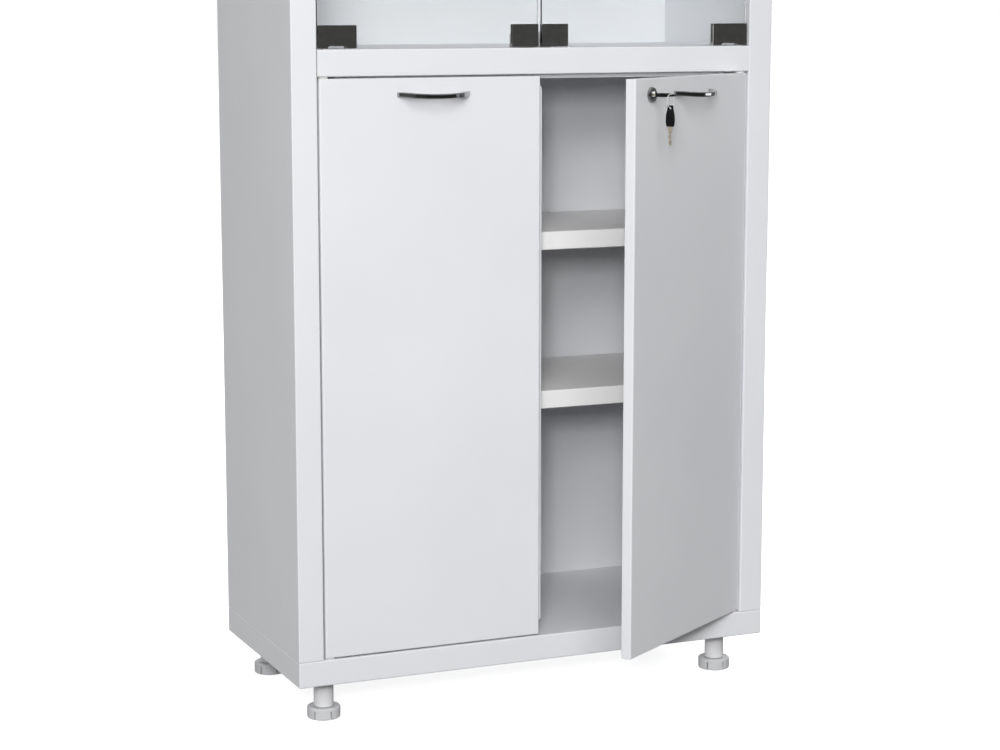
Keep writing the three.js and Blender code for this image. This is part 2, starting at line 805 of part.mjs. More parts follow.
function keyHead(rootY) {
  const end = rootY - headLength;
  const half = headWidth / 2;
  const endHalf = headEndWidth / 2;
  const rootHalf = headRootWidth / 2;
  const wide = rootY - headLength / 4;
  const shape = new THREE.Shape();
  shape.moveTo(rootHalf, rootY);
  shape.quadraticCurveTo(half, rootY, half, wide);
  shape.lineTo(endHalf, end + 2 * headHoleInset);
  shape.lineTo(endHalf, end + headCorner);
  shape.quadraticCurveTo(endHalf, end, endHalf - headCorner, end);
  shape.lineTo(headCorner - endHalf, end);
  shape.quadraticCurveTo(-endHalf, end, -endHalf, end + headCorner);
  shape.lineTo(-endHalf, end + 2 * headHoleInset);
  shape.lineTo(-half, wide);
  shape.quadraticCurveTo(-half, rootY, -rootHalf, rootY);
  const thin = headEndThickness / 2;
  const thick = headThickness / 2;
  const sideView = polygon([
    [rootY, -thick],
    [rootY, thick],
    [wide, thick],
    [end + 2 * headHoleInset, thin],
    [end, thin],
    [end, -thin],
    [end + 2 * headHoleInset, -thin],
    [wide, -thick],
  ]);
  const slab = raised(shape, -thick, thick).intersect(alongX(sideView, -half, half));
  return cut(slab, pin(0, end + headHoleInset, -thick, thick, headHole, 20));
}

const headRootY = -lockFaceProud - bladeShown;
const headGapY = headRootY - clearance;
const keyHoleY = headGapY - headLength + headHoleInset;
place(lock, 'key_blade', keyBlade(headRootY), steel);
place(lock, 'key_head', keyHead(headGapY), blackPlastic);

// Ring through the head hole, round the side of the head that faces the free edge
const strapHalf = (headEndWidth - headHole) / 4;
const ringInner = ringRadius - ringWire / 2;
const ringX = -(headHole + headEndWidth) / 4;
const ringZ = headEndThickness / 2 + ringPlay - Math.sqrt(ringInner ** 2 - strapHalf ** 2);
const ringGeometry = new THREE.TorusGeometry(ringRadius, ringWire / 2, 6, 32);
ringGeometry.rotateX(Math.PI / 2);
place(lock, 'key_ring', solid(ringGeometry), steel, ringX, keyHoleY, ringZ);

// Spare key hanging blade down, its flat square to the ring
const spareHoleZ = ringZ - ringInner + ringPlay - headHole / 2;
const spare = groupAt(lock, ringX, keyHoleY, spareHoleZ);
const spareRootY = headLength - headHoleInset;
spare.rotation.set(-Math.PI / 2, Math.PI / 2, 0, 'XYZ');
place(spare, 'spare_key_blade', keyBlade(spareRootY + clearance), steel);
place(spare, 'spare_key_head', keyHead(spareRootY), blackPlastic);

// Glass doors: panes in corner clamps with pivot pins, and strike plates at the meeting edges
function cornerClamp() {
  const half = clampThickness / 2;
  const jaw = paneThickness / 2 + clearance;
  const heel = -clampPivotInset;
  const toe = heel + clampWidth;
  const body = block(heel, -half, clampFloorGap, toe, half, paneEndGap + clampHeight);
  const slot = block(
    heel - overcut, -jaw, paneEndGap - clearance,
    toe + overcut, jaw, paneEndGap + clampHeight + overcut);
  const left = heel + clampLug;
  const right = toe - clampLug;
  const arch = new THREE.Shape();
  arch.moveTo(left, clampFloorGap - overcut);
  arch.lineTo(right, clampFloorGap - overcut);
  arch.lineTo(right, clampFloorGap);
  arch.quadraticCurveTo(right, clampFloorGap + clampArch, right - clampArch, clampFloorGap + clampArch);
  arch.lineTo(left + clampArch, clampFloorGap + clampArch);
  arch.quadraticCurveTo(left, clampFloorGap + clampArch, left, clampFloorGap);
  const pivot = pin(0, 0, -clampPinLength, clampFloorGap + clearance, clampPin, 20);
  return join(cut(body, slot, alongY(arch, -half - overcut, half + overcut)), pivot);
}

function strikePlateClip(s) {
  const jaw = paneThickness / 2 + clearance;
  const x0 = s * paneFreeX;
  const x1 = s * (paneFreeX - strikeWidth);
  const body = block(x0, -strikeHalf, clampFloorGap, x1, strikeHalf, clampFloorGap + strikeHeight);
  const slot = block(
    x0 + s * overcut, -jaw, paneEndGap - clearance,
    x1 - s * overcut, jaw, clampFloorGap + strikeHeight + overcut);
  return cut(body, slot);
}

const hingeBush = turned([
  [clampPin / 2 + clearance, -bushLength],
  [bushDiameter / 2, -bushLength],
  [bushDiameter / 2, clearance],
  [bushFlange / 2, clearance],
  [bushFlange / 2, bushFlangeThickness],
  [clampPin / 2 + clearance, bushFlangeThickness],
], 20);

for (const [side, s] of [['left', 1], ['right', -1]]) {
  place(cabinet, `glass_${side}_door_hinge_bush`, hingeBush, nylon, -s * panePivotX, panePivotY, upperFloorZ);
  const door = groupAt(cabinet, -s * panePivotX, panePivotY);
  const pane = block(
    -s * clampPivotInset, -paneThickness / 2, paneBottomZ,
    s * paneFreeX, paneThickness / 2, paneTopZ);
  place(door, `glass_${side}_door_pane`, pane, glass);
  const bottomClamp = place(
    door, `glass_${side}_door_bottom_clamp`, cornerClamp(), chrome, 0, 0, upperFloorZ);
  const topClamp = place(door, `glass_${side}_door_top_clamp`, cornerClamp(), chrome, 0, 0, topZ);
  bottomClamp.rotation.z = s > 0 ? 0 : Math.PI;
  topClamp.rotation.set(s > 0 ? Math.PI : 0, s > 0 ? 0 : Math.PI, 0);
  place(door, `glass_${side}_door_strike`, strikePlateClip(s), chrome, 0, 0, upperFloorZ);
}

// Push latch behind the meeting edges, with a sprung plunger for each door
const plungerTipY = panePivotY + strikeHalf + clearance;
const latchFrontY = plungerTipY + plungerShown;
const plungerZ = upperFloorZ + latchHeight / 2;
const latchBody = block(
  -latchWidth / 2, latchFrontY, upperFloorZ,
  latchWidth / 2, latchFrontY + latchDepth, upperFloorZ + latchHeight);
const plungerPlaces = sides.map(([side, s]) => [side, s * plungerSpacing / 2]);
const plungerBores = plungerPlaces.map(([, x]) => pinY(
  x, plungerZ, latchFrontY - overcut, latchFrontY + plungerBore, plungerDiameter + 2 * clearance));
place(cabinet, 'push_latch_body', cut(latchBody, ...plungerBores), greyPlastic);

const plunger = turnedY([
  [0, 0],
  [plungerDiameter / 2 - plungerChamfer, 0],
  [plungerDiameter / 2, plungerChamfer],
  [plungerDiameter / 2, plungerLength],
  [0, plungerLength],
], 24);
for (const [side, x] of plungerPlaces) {
  place(cabinet, `push_latch_${side}_plunger`, plunger, greyPlastic, x, plungerTipY, plungerZ);
}

export default cabinet;
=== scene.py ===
"""White two-section medical cabinet: lockable steel doors below, glass doors above, on levelling feet.

Metres, +Z up, the doors face -Y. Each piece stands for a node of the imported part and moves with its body.
"""
import json
import math

import bmesh
import bpy
from mathutils import Matrix, Vector


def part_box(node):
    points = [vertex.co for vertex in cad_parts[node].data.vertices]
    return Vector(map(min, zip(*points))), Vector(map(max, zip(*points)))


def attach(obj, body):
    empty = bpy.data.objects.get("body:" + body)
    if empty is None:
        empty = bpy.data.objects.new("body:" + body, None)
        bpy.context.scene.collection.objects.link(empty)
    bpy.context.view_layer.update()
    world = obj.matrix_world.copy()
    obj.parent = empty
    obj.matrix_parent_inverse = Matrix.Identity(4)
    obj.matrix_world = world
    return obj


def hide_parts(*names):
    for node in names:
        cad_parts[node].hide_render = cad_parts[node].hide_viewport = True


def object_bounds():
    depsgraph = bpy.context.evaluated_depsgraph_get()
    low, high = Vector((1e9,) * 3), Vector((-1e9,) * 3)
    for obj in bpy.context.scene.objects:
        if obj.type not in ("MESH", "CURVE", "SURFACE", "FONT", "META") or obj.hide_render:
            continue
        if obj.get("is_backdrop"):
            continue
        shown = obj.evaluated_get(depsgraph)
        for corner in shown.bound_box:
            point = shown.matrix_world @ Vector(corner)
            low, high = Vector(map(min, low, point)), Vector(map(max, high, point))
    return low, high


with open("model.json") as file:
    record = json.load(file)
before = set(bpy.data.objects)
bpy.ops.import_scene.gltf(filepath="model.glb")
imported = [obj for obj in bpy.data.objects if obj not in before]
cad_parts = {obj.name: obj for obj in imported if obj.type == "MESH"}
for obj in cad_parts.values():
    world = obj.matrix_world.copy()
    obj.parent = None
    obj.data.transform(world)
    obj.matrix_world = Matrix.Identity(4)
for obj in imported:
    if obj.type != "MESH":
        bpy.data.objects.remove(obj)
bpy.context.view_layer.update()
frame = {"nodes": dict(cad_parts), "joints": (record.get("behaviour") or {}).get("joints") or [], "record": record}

# Camera: stands front left of the cabinet, just above the crossbar over the steel doors, and looks slightly
# down on them, as the photograph does.
camera_place = (-1.3016, -3.0129, 0.96)
camera_turn = math.radians(23.514)
camera_tilt = math.radians(9.121)
camera_sensor = 36
camera_lens = 84.207
scene = bpy.context.scene
camera = bpy.data.objects.new("camera", bpy.data.cameras.new("camera"))
camera.location = camera_place
camera.rotation_euler = (math.pi / 2 - camera_tilt, 0, -camera_turn)
camera.data.sensor_width = camera_sensor
camera.data.lens = camera_lens
scene.collection.objects.link(camera)
scene.camera = camera

# Carcass: base tray, top cover, two folded side panels, back panel and divider, all of 1 mm steel sheet.
# The sheets are bent, spot-welded and powder-coated white as one shell, so the coat runs over every fold.
MM = 0.001
SHARP = math.radians(35)
record = frame["record"]
body_of = {node: body for body, members in record["behaviour"]["bodies"].items() for node in members}


def finish(name, values):
    """A material of one principled shader, with its constant sockets set."""
    material = bpy.data.materials.new(name)
    material.use_nodes = True
    shader = material.node_tree.nodes["Principled BSDF"]
    for socket, value in values.items():
        shader.inputs[socket].default_value = value
    return material


def grain(material, per_metre, detail=3.0, stretch=(1, 1, 1)):
    """Noise in the piece's own space, with that many grains to a metre."""
    tree = material.node_tree
    place = tree.nodes.new("ShaderNodeTexCoord")
    mapping = tree.nodes.new("ShaderNodeMapping")
    mapping.inputs["Scale"].default_value = stretch
    noise = tree.nodes.new("ShaderNodeTexNoise")
    noise.inputs["Scale"].default_value = per_metre
    noise.inputs["Detail"].default_value = detail
    tree.links.new(place.outputs["Object"], mapping.inputs["Vector"])
    tree.links.new(mapping.outputs["Vector"], noise.inputs["Vector"])
    return noise.outputs["Fac"]


def vary(material, source, socket, low, high):
    """The socket runs from low to high with the source, a number or a colour."""
    usual_low, usual_high = 0.3, 0.7
    tree = material.node_tree
    span = tree.nodes.new("ShaderNodeMapRange")
    span.inputs["From Min"].default_value = usual_low
    span.inputs["From Max"].default_value = usual_high
    tree.links.new(source, span.inputs["Value"])
    result = span.outputs["Result"]
    if socket == "Base Color":
        tint = tree.nodes.new("ShaderNodeMix")
        tint.data_type = "RGBA"
        tint.inputs["A"].default_value = (*low, 1)
        tint.inputs["B"].default_value = (*high, 1)
        tree.links.new(result, tint.inputs["Factor"])
        result = tint.outputs["Result"]
    else:
        span.inputs["To Min"].default_value = low
        span.inputs["To Max"].default_value = high
    tree.links.new(result, tree.nodes["Principled BSDF"].inputs[socket])


def relief(material, source, height):
    """The source raises the surface by up to that height."""
    tree = material.node_tree
    bump = tree.nodes.new("ShaderNodeBump")
    bump.inputs["Strength"].default_value = 1
    bump.inputs["Distance"].default_value = height
    tree.links.new(source, bump.inputs["Height"])
    normal = tree.nodes["Principled BSDF"].inputs["Normal"]
    for link in normal.links:
        tree.links.new(link.from_socket, bump.inputs["Normal"])
    tree.links.new(bump.outputs["Normal"], normal)


def powder_finish(name, dark, light):
    """Satin powder coat, faintly clouded, with a fine orange peel."""
    coat = finish(name, {"IOR": 1.5})
    vary(coat, grain(coat, 4, 6), "Base Color", dark, light)
    vary(coat, grain(coat, 90), "Roughness", 0.34, 0.46)
    relief(coat, grain(coat, 380, 2), 0.03 * MM)
    return coat


powder_coat = powder_finish("white_powder_coat", (0.785, 0.795, 0.822), (0.825, 0.834, 0.857))


def add_piece(name, mesh, *materials):
    """A new object of that mesh, smooth shaded, in the scene."""
    mesh.materials.clear()
    for material in materials:
        mesh.materials.append(material)
    mesh.shade_smooth()
    piece = bpy.data.objects.new(name, mesh)
    scene.collection.objects.link(piece)
    return piece


def soften(piece, edge, steps=2):
    """Rounds the sharp edges and keeps the broad faces flat in the light."""
    bevel = piece.modifiers.new("eased edges", "BEVEL")
    bevel.width = edge
    bevel.segments = steps
    bevel.limit_method = "ANGLE"
    bevel.angle_limit = SHARP
    piece.modifiers.new("flat faces", "WEIGHTED_NORMAL")
    return piece


def stand_for(piece, *names):
    """The piece moves with the nodes' body and is shown in their place."""
    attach(piece, body_of[names[0]])
    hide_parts(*names)
    return piece


def welded_solid(node):
    """The node's solid with its corners joined."""
    same_place = 0.001 * MM
    shape = bmesh.new()
    shape.from_mesh(frame["nodes"][node].data)
    bmesh.ops.remove_doubles(shape, verts=shape.verts, dist=same_place)
    return shape


def plain_faces(node):
    """The node's solid with the triangles of each flat face joined."""
    flat = math.radians(0.5)
    shape = welded_solid(node)
    bmesh.ops.dissolve_limit(shape, angle_limit=flat, verts=shape.verts, edges=shape.edges)
    return shape


def mesh_of(shape, name):
    """A mesh of the shape, which is freed."""
    mesh = bpy.data.meshes.new(name)
    shape.to_mesh(mesh)
    shape.free()
    return mesh


def round_folds(shape, radius):
    """Rounds the edges between faces that bound the whole piece, where the sheet is bent over."""
    level, steps = 0.01 * MM, 4
    points = [vert.co.copy() for vert in shape.verts]
    outer = set()
    for face in shape.faces:
        corner = face.verts[0].co
        if all((point - corner).dot(face.normal) < level for point in points):
            outer.add(face)
    folds = [
        edge for edge in shape.edges
        if len(edge.link_faces) == 2 and outer.issuperset(edge.link_faces)
        and edge.calc_face_angle() > SHARP]
    bmesh.ops.bevel(
        shape, geom=folds, offset=radius, segments=steps, profile=0.5, affect="EDGES",
        clamp_overlap=False)


def eased(node, material, edge, fold=0.0):
    """A copy of the node's solid with rounded folds and edges, in the node's place."""
    shape = plain_faces(node)
    if fold:
        round_folds(shape, fold)
    piece = soften(add_piece(f"dressed_{node}", mesh_of(shape, node), material), edge)
    return stand_for(piece, node)


sheet_edge = 0.3 * MM
tray_fold = 1.8 * MM
for tray in ("base_tray", "top_cover"):
    eased(tray, powder_coat, sheet_edge, tray_fold)
for panel in ("back_panel", "divider"):
    eased(panel, powder_coat, sheet_edge)
seam = 0.5 * MM
for panel in ("left_side_panel", "right_side_panel"):
    side_panel = eased(panel, powder_coat, sheet_edge)
    foot_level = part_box(panel)[0].z
    for vert in side_panel.data.vertices:
        if vert.co.z < foot_level + seam:
            vert.co.z += seam

# Feet: four moulded legs of near-white plastic with studs into the base, each with a pale grey glide that
# screws out of it. The glide has a rounded rim and six grip slits, and its stem slides in the leg.
def plastic_finish(name, dark, light, smoothest, roughest):
    """Moulded plastic with a fine mould texture."""
    plastic = finish(name, {"IOR": 1.47})
    vary(plastic, grain(plastic, 25, 4), "Base Color", dark, light)
    vary(plastic, grain(plastic, 600), "Roughness", smoothest, roughest)
    relief(plastic, grain(plastic, 1500, 2), 0.02 * MM)
    return plastic


grey_plastic = plastic_finish("pale_grey_plastic", (0.6, 0.605, 0.62), (0.68, 0.685, 0.7), 0.4, 0.55)
white_plastic = plastic_finish("white_plastic", (0.8, 0.8, 0.81), (0.86, 0.86, 0.87), 0.35, 0.5)


def loft(name, rings, closed):
    """Skin through rings of points. Closed, its last ring joins its first, and open, it has end caps."""
    same_place = 0.0001 * MM
    shape = bmesh.new()
    loops = [[shape.verts.new(point) for point in ring] for ring in rings]
    pairs = list(zip(loops, loops[1:]))
    if closed:
        pairs.append((loops[-1], loops[0]))
    for near, far in pairs:
        for i in range(len(near)):
            j = (i + 1) % len(near)
            shape.faces.new((near[i], near[j], far[j], far[i]))
    if not closed:
        shape.faces.new(loops[0][::-1])
        shape.faces.new(loops[-1])
    bmesh.ops.remove_doubles(shape, verts=shape.verts, dist=same_place)
    bmesh.ops.recalc_face_normals(shape, faces=shape.faces)
    return mesh_of(shape, name)


def round_about(angle, radius, height):
    """Point at an angle and a radius round Z."""
    return Vector((radius * math.cos(angle), radius * math.sin(angle), height))


def turned(name, profile, steps=48):
    """Closed profile of radius and height, turned round Z."""
    angles = [2 * math.pi * i / steps for i in range(steps)]
    return loft(name, [[round_about(a, r, h) for r, h in profile] for a in angles], True)


def quarter(centre, radius, start, steps=5):
    """Points of a quarter circle in a profile, from the start angle in quarter turns."""
    angles = [(start + i / steps) * math.pi / 2 for i in range(steps + 1)]
    return [(centre[0] + radius * math.cos(a), centre[1] + radius * math.sin(a)) for a in angles]


def leg_mesh(name, low, high, outside):
    """Tube with rounded ends, a cap and a stud on top."""
    bore, stud, stud_length, cap, lip = 10 * MM, 5 * MM, 12 * MM, 4 * MM, 0.8 * MM
    top = high - stud_length
    profile = [
        (bore, low), *quarter((outside - lip, low + lip), lip, 3),
        *quarter((outside - lip, top - lip), lip, 0),
        (stud, top), (stud, high - lip), (stud - lip, high), (0, high), (0, top - cap), (bore, top - cap)]
    return turned(name, profile)


def glide_mesh(name, rim, high):
    """Knob with a rounded rim, grip slits and a stem, skinned round Z from section to section."""
    lip, slit_depth, slit_top, knob, stem = 2 * MM, 9 * MM, 12 * MM, 16 * MM, 9.7 * MM
    slits, slit_half, slit_turn, slit_wall = 6, 1.2 * MM / rim, math.radians(38), 1.02
    dish, between = 1.2 * MM, 8

    def profile(grooved):
        """Half section through a slit or between two, as radius and height."""
        inner = rim - slit_depth if grooved else rim
        foot = [(min(r, inner), h) for r, h in quarter((rim - lip, lip), lip, 3)]
        shoulder = quarter((rim - lip, knob - lip), lip, 0)
        return [
            (0, 0), *foot, (inner, slit_top), (rim, slit_top), *shoulder,
            (rim - 2 * lip, knob), (rim - 2.4 * lip, knob - dish), (stem + dish, knob - dish),
            (stem, knob), (stem, high - dish), (stem - dish, high), (0, high)]

    rings = []
    for i in range(slits):
        middle = slit_turn + i * 2 * math.pi / slits
        for angle, grooved in ((-slit_wall, False), (-1, True), (1, True), (slit_wall, False)):
            rings.append([
                round_about(middle + angle * slit_half, r, h) for r, h in profile(grooved)])
        start = middle + slit_wall * slit_half
        span = 2 * math.pi / slits - 2 * slit_wall * slit_half
        for k in range(1, between):
            rings.append([
                round_about(start + span * k / between, r, h) for r, h in profile(False)])
    return loft(name, rings, True)


leg_edge = 0.1 * MM
glide_edge = 0.15 * MM
for where in ("front_left", "front_right", "rear_left", "rear_right"):
    low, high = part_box(f"{where}_foot_leg")
    middle = (low + high) / 2
    leg = add_piece(
        f"dressed_{where}_foot_leg",
        leg_mesh(f"{where}_leg", low.z, high.z, (high.x - low.x) / 2), white_plastic)
    leg.location = (middle.x, middle.y, 0)
    stand_for(soften(leg, leg_edge), f"{where}_foot_leg")
    low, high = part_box(f"{where}_foot_glide")
    glide = add_piece(
        f"dressed_{where}_foot_glide",
        glide_mesh(f"{where}_glide", (high.x - low.x) / 2, high.z), grey_plastic)
    glide.location = (middle.x, middle.y, 0)
    stand_for(soften(glide, glide_edge), f"{where}_foot_glide")

# Shelves: two white steel trays folded down and in on four sides, resting loose on ledger angles. Each
# ledger is screwed to the side panel with two pan-head screws, and two more ledgers carry each glass shelf.
# The shelves get a brighter, warmer copy of the white coat. Its extra brightness is painted light, so the shelf
# fronts, shaded by the doors, look as bright as the outer faces.
shelf_coat_painted_light = powder_finish("brighter_white_coat_painted_light", (0.86, 0.852, 0.85), (0.9, 0.892, 0.89))
shelf_fold = 1.5 * MM
ledger_edge = 0.4 * MM
for height in ("lower", "upper"):
    eased(f"{height}_steel_shelf", shelf_coat_painted_light, sheet_edge, shelf_fold)
    for kind in ("steel", "glass"):
        for side in ("left", "right"):
            eased(f"{height}_{kind}_shelf_{side}_ledger", powder_coat, ledger_edge)

zinc = finish("bright_zinc_plate", {"Metallic": 1.0})
vary(zinc, grain(zinc, 350, 4), "Base Color", (0.5, 0.52, 0.55), (0.66, 0.68, 0.7))
vary(zinc, grain(zinc, 900), "Roughness", 0.22, 0.4)
relief(zinc, grain(zinc, 2500, 2), 0.01 * MM)


def cross_reach(angle, half, length):
    """How far a cross recess reaches at an angle."""
    least = 1e-9
    c, s = max(abs(math.cos(angle)), least), max(abs(math.sin(angle)), least)
    along = min(length / c, half / s)
    across = min(length / s, half / c)
    return max(along, across)


def screw_rings(diameter):
    """Pan head with a cross recess, rings from the recess floor out to the seat, standing on z = 0."""
    radius, rise = diameter / 2, 0.36 * diameter
    half, length = 0.1 * diameter, 0.27 * diameter
    corner = math.atan2(half, length)
    quadrant = (-corner, 0, corner, (corner + math.pi / 4) / 2, math.pi / 4, 3 * math.pi / 8 - corner / 2)
    angles = [q * math.pi / 2 + a for q in range(4) for a in quadrant]
    recess = ((0.8, 0.45), (1.0, 0.97))
    dome = ((0.7, 0.96), (0.86, 0.84), (0.96, 0.6), (1.0, 0.3), (1.0, 0.0))
    rings = [
        [round_about(a, share * cross_reach(a, half, length), level * rise) for a in angles]
        for share, level in recess]
    return rings + [[round_about(a, share * radius, level * rise) for a in angles] for share, level in dome]


screw_edge = 0.08 * MM


def add_screws(name, places, diameter, body, material, head=screw_rings):
    """One piece of like screws, each set on a point with its head towards a direction."""
    shape = bmesh.new()
    for point, direction in places:
        mesh = loft(name, head(diameter), False)
        turn = Vector(direction).to_track_quat("Z", "Y").to_matrix().to_4x4()
        mesh.transform(Matrix.Translation(point) @ turn)
        shape.from_mesh(mesh)
        bpy.data.meshes.remove(mesh)
    piece = soften(add_piece(name, mesh_of(shape, name), material), screw_edge)
    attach(piece, body)
    return piece


ledger_screw = 6 * MM
ledger_sheet = 1.5 * MM
ledger_screw_shares = (0.15, 0.85)
ledger_places = []
for height in ("lower", "upper"):
    for kind in ("steel", "glass"):
        for side, inward in (("left", 1), ("right", -1)):
            low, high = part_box(f"{height}_{kind}_shelf_{side}_ledger")
            face = low.x + ledger_sheet if inward > 0 else high.x - ledger_sheet
            for share in ledger_screw_shares:
                along = low.y + share * (high.y - low.y)
                ledger_places.append((Vector((face, along, (low.z + high.z) / 2)), (inward, 0, 0)))
add_screws("ledger_screws", ledger_places, ledger_screw, "cabinet", zinc)

# Steel doors: pans folded from one sheet, with lips all round the back and a rounded hinge edge. Each turns
# on two flanged nylon pins, and both are powder-coated like the carcass.
nylon = finish("white_nylon", {"IOR": 1.53, "Subsurface Weight": 0.1, "Subsurface Scale": 1.5 * MM})
vary(nylon, grain(nylon, 60, 4), "Base Color", (0.76, 0.76, 0.735), (0.82, 0.82, 0.8))
vary(nylon, grain(nylon, 800), "Roughness", 0.42, 0.55)

door_fold = 1.2 * MM
pivot_edge = 0.25 * MM
for side in ("left", "right"):
    eased(f"lower_{side}_door_panel", powder_coat, sheet_edge, door_fold)
    for end in ("top", "bottom"):
        eased(f"lower_{side}_door_{end}_pivot", nylon, pivot_edge)

# Overlap strip and shoot bolt: the left door's folded white strip covers the gap between the doors, and a
# zinc-plated bolt in a screwed case slides up behind the crossbar's lip to hold that door.
bolt_edge = 0.4 * MM
eased("overlap_strip", powder_coat, sheet_edge)
for part in ("shoot_bolt_case", "shoot_bolt"):
    eased(part, zinc, bolt_edge)
case_low, case_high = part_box("shoot_bolt_case")
case_screw = 5 * MM
case_screw_inset = 6.5 * MM
case_screw_places = [
    (Vector(((case_low.x + case_high.x) / 2, case_high.y, z)), (0, 1, 0))
    for z in (case_low.z + case_screw_inset, case_high.z - case_screw_inset)]
add_screws("bolt_case_screws", case_screw_places, case_screw, "lower_left_door", zinc)

# Handles: polished chrome straps cast in one piece, with slanted legs and a shallow bow. Two screws from
# inside the door hold each one.
chrome = finish("polished_chrome", {"Metallic": 1.0, "Specular Tint": (1, 1, 1, 1)})
vary(chrome, grain(chrome, 120, 4), "Base Color", (0.41, 0.412, 0.42), (0.47, 0.472, 0.48))
vary(chrome, grain(chrome, 300, 6, (1, 1, 6)), "Roughness", 0.05, 0.12)
relief(chrome, grain(chrome, 500, 2), 0.004 * MM)

left_low, left_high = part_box("lower_left_door_handle")
handle_half = (left_high.x - left_low.x) / 2
handle_reach = left_high.y - left_low.y
handle_height = 6.5 * MM
handle_foot = 7 * MM
handle_bow = 5 * MM
handle_droop = 2.6 * MM
handle_leg_run = 22 * MM
handle_leg_lean = 15 * MM
handle_strap = 4 * MM


def curve_point(a, b, c, t):
    """Point of a curve from a to c that leaves and arrives in the direction of b."""
    return a * (1 - t) ** 2 + b * 2 * t * (1 - t) + c * t ** 2


def handle_side(half, top, shoulder):
    """Plan points along one side of the strap, from foot to foot."""
    leg_steps, bow_steps = 14, 36
    crown = Vector((0, -shoulder - 2 * handle_bow))
    ends = [Vector((s * half, 0)) for s in (-1, 1)]
    knees = [Vector((s * (half - handle_leg_lean), -shoulder)) for s in (-1, 1)]
    tops = [Vector((s * top, -shoulder)) for s in (-1, 1)]
    points = [curve_point(ends[0], knees[0], tops[0], i / leg_steps) for i in range(leg_steps)]
    points += [curve_point(tops[0], crown, tops[1], i / bow_steps) for i in range(bow_steps)]
    points += [curve_point(tops[1], knees[1], ends[1], i / leg_steps) for i in range(leg_steps + 1)]
    return points


def handle_mesh(name):
    """Rounded strap between the inner and the outer side, drooping a little towards its front."""
    shoulder = handle_reach - handle_bow
    top = handle_half - handle_leg_run
    radius = 1.3 * MM
    outside = handle_side(handle_half, top, shoulder)
    inside = handle_side(handle_half - handle_foot, top - handle_strap, shoulder - handle_strap)
    rings = []
    for near, far in zip(inside, outside):
        across = (far - near).normalized()
        width = (far - near).length
        corners = [
            (width - radius, handle_height / 2 - radius, 0),
            (radius, handle_height / 2 - radius, 1),
            (radius, radius - handle_height / 2, 2),
            (width - radius, radius - handle_height / 2, 3)]
        ring = []
        for u, v, start in corners:
            for a, b in quarter((u, v), radius, start):
                spot = near + across * a
                ring.append(Vector((spot.x, spot.y, b - handle_droop * (spot.y / handle_reach) ** 2)))
        rings.append(ring)
    return loft(name, rings, False)


joints = {joint["name"]: joint for joint in frame["joints"]}
left_hinge = Vector(joints["lower_left_door_hinge"]["pos_m"])
right_hinge = Vector(joints["lower_right_door_hinge"]["pos_m"])
right_open = -math.radians(joints["lower_right_door_hinge"]["range_deg"][0])
left_door = Matrix.Translation((left_hinge.x, left_hinge.y, 0))
right_door = Matrix.Translation((right_hinge.x, right_hinge.y, 0)) @ Matrix.Rotation(right_open, 4, "Z")
handle_at = Vector(((left_low.x + left_high.x) / 2, left_high.y, left_high.z - handle_height / 2))
handle_at = left_door.inverted() @ handle_at
handle_hole = 48 * MM
handle_screw = 7 * MM
inner_skin = 1.3 * MM
handle_places = {
    "left": left_door @ Matrix.Translation(handle_at),
    "right": right_door @ Matrix.Translation((-handle_at.x, handle_at.y, handle_at.z))}
for side, place in handle_places.items():
    handle = add_piece(f"dressed_{side}_handle", handle_mesh(f"{side}_handle"), chrome)
    handle.matrix_world = place
    stand_for(handle, f"lower_{side}_door_handle")
    inside = (place @ Vector((0, 1, 0, 0))).xyz
    screw_places = [
        (place @ Vector((end * handle_hole, inner_skin, 0)), inside) for end in (-1, 1)]
    add_screws(
        f"{side}_handle_screws", screw_places, handle_screw, f"lower_{side}_door", zinc)

# Lock: a chromed cam lock through the right door, with a domed face, a hexagon nut behind the sheet, a plug
# with a flat keyway and a zinc-plated cam, which a screw holds on the plug's tail.
housing_edge = 0.1 * MM
nut_edge = 0.4 * MM
plug_edge = 0.2 * MM
cam_edge = 0.3 * MM
lock_low, lock_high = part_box("lock_housing")
lock_face_radius = (lock_high.z - lock_low.z) / 2
lock_turn = joints["lock_turn"]
lock = Matrix.Translation(lock_turn["pos_m"]) @ Matrix.Rotation(right_open, 4, "Z")


def lock_housing_mesh(name):
    """Profile of radius and depth behind the door face, turned round Z and laid along Y."""
    proud, bore, barrel, end, dome, groove = 4 * MM, 7.3 * MM, 9 * MM, 18 * MM, 2.5 * MM, 0.3 * MM
    face = lock_face_radius
    profile = [
        (bore, -proud + groove), (bore + groove, -proud),
        *reversed(quarter((face - dome, dome - proud), dome, -1)),
        (face, 0), (barrel, 0), (barrel, end), (bore, end)]
    mesh = turned(name, profile, 64)
    mesh.transform(Matrix.Rotation(-math.pi / 2, 4, "X"))
    return mesh


lock_housing = add_piece("dressed_lock_housing", lock_housing_mesh("lock_housing"), chrome)
lock_housing.matrix_world = lock
stand_for(soften(lock_housing, housing_edge), "lock_housing")
eased("lock_nut", zinc, nut_edge)


def domed_plug_mesh(node):
    """The node's solid with its front face raised towards the keyway."""
    dome, level = 0.5 * MM, 0.01 * MM
    shape = welded_solid(node)
    shape.transform(lock.inverted())
    front = min(vert.co.y for vert in shape.verts) + level
    edges = [edge for edge in shape.edges if all(vert.co.y < front for vert in edge.verts)]
    bmesh.ops.subdivide_edges(shape, edges=edges, cuts=3, use_grid_fill=True)
    face = [vert for vert in shape.verts if vert.co.y < front]
    radius = max(math.hypot(vert.co.x, vert.co.z) for vert in face)
    for vert in face:
        vert.co.y += dome * (vert.co.x ** 2 + vert.co.z ** 2) / radius ** 2
    shape.transform(lock)
    return mesh_of(shape, node)


